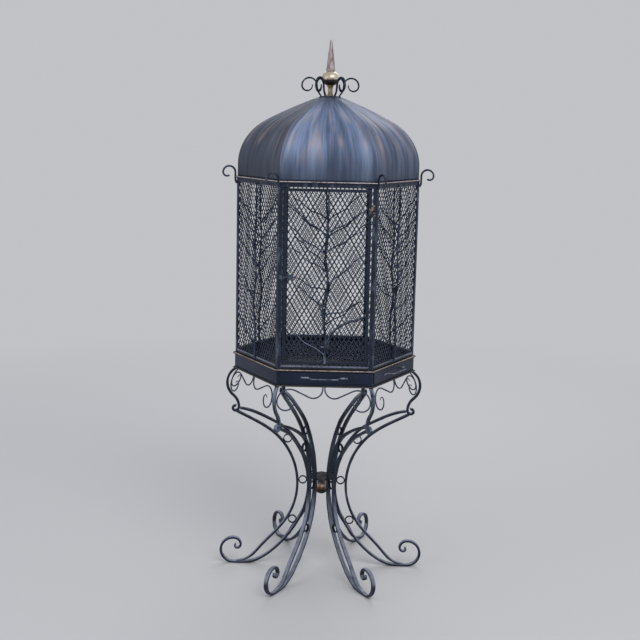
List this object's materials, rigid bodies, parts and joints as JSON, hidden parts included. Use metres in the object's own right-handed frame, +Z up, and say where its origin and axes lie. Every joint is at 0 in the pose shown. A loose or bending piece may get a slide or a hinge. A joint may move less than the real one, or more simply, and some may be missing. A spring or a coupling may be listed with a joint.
{
  "type": "bird cage on stand",
  "caption": "Hexagonal wrought-iron bird cage with a domed sheet roof, ball finial, hinged mesh door, litter drawers and a stand of scrolled legs.",
  "frame": {"origin": "on the floor, under the middle of the cage", "axes": "+Z up along the cage's axis, the door face looks along -Y, +X to the right of someone facing the door"},
  "size_m": [0.7468, 0.6538, 1.901],
  "materials": {
    "wrought_iron": "near-black paint, dry-brushed blue-grey",
    "iron_mesh": "satin, dark blue-grey",
    "base_sheet": "satin dark blue-black sheet",
    "edge_trim": "dark paint rubbed to copper and gold at the edges",
    "roof_sheet": "streaked blue-grey patina with copper patches",
    "gilt": "worn pale gold",
    "aged_copper": "weathered copper brown"
  },
  "bodies": {
    "cage_and_stand": {"leg_bar_1": "wrought_iron", "leg_stay_1": "wrought_iron", "leg_bracket_1": "wrought_iron", "leg_bar_2": "wrought_iron", "leg_stay_2": "wrought_iron", "leg_bracket_2": "wrought_iron", "leg_bar_3": "wrought_iron", "leg_stay_3": "wrought_iron", "leg_bracket_3": "wrought_iron", "leg_bar_4": "wrought_iron", "leg_stay_4": "wrought_iron", "leg_bracket_4": "wrought_iron", "leg_bar_5": "wrought_iron", "leg_stay_5": "wrought_iron", "leg_bracket_5": "wrought_iron", "leg_bar_6": "wrought_iron", "leg_stay_6": "wrought_iron", "leg_bracket_6": "wrought_iron", "leg_rings": "wrought_iron", "apron_scrolls": "wrought_iron", "corner_posts": "wrought_iron", "bottom_rails": "wrought_iron", "top_rails": "wrought_iron", "wall_trees": "wrought_iron", "floor_grille": "wrought_iron", "hinge_fixed_leaves": "wrought_iron", "hinge_pins": "wrought_iron", "latch_keeper": "wrought_iron", "corner_hooks": "wrought_iron", "crown_scrolls": "wrought_iron", "perch_base": "wrought_iron", "perch_branch": "wrought_iron", "drawer_runners": "wrought_iron", "waist_collar": "wrought_iron", "mesh_panel_1": "iron_mesh", "mesh_panel_2": "iron_mesh", "mesh_panel_3": "iron_mesh", "mesh_panel_4": "iron_mesh", "mesh_panel_5": "iron_mesh", "base_plate": "base_sheet", "base_walls": "base_sheet", "base_moulding": "edge_trim", "rim_band": "edge_trim", "dome_gores": "roof_sheet", "dome_cap": "roof_sheet", "finial_pillar": "gilt", "finial_ball": "gilt", "finial_spike": "aged_copper", "waist_ball": "aged_copper"},
    "door": {"door_frame": "wrought_iron", "door_mesh": "iron_mesh", "door_tree": "wrought_iron", "hinge_moving_leaves": "wrought_iron", "latch_guides": "wrought_iron"},
    "latch_bolt": {"latch_bolt": "edge_trim"},
    "drawer_front": {"drawer_front": "base_sheet", "drawer_front_pull": "edge_trim"},
    "drawer_right": {"drawer_right": "base_sheet", "drawer_right_pull": "edge_trim"}
  },
  "joints": [
    {"name": "door_swing", "type": "hinge", "parent": "cage_and_stand", "child": "door", "pos_m": [0.14525, -0.28113, 1.115], "axis": [0, 0, 1], "range_deg": [0, 110]},
    {"name": "latch_slide", "type": "slide", "parent": "door", "child": "latch_bolt", "axis": [-1, 0, 0], "range_m": [0, 0.012]},
    {"name": "drawer_front_slide", "type": "slide", "parent": "cage_and_stand", "child": "drawer_front", "axis": [0, -1, 0], "range_m": [0, 0.17]},
    {"name": "drawer_right_slide", "type": "slide", "parent": "cage_and_stand", "child": "drawer_right", "axis": [0.866, -0.5, 0], "range_m": [0, 0.17]}
  ]
}
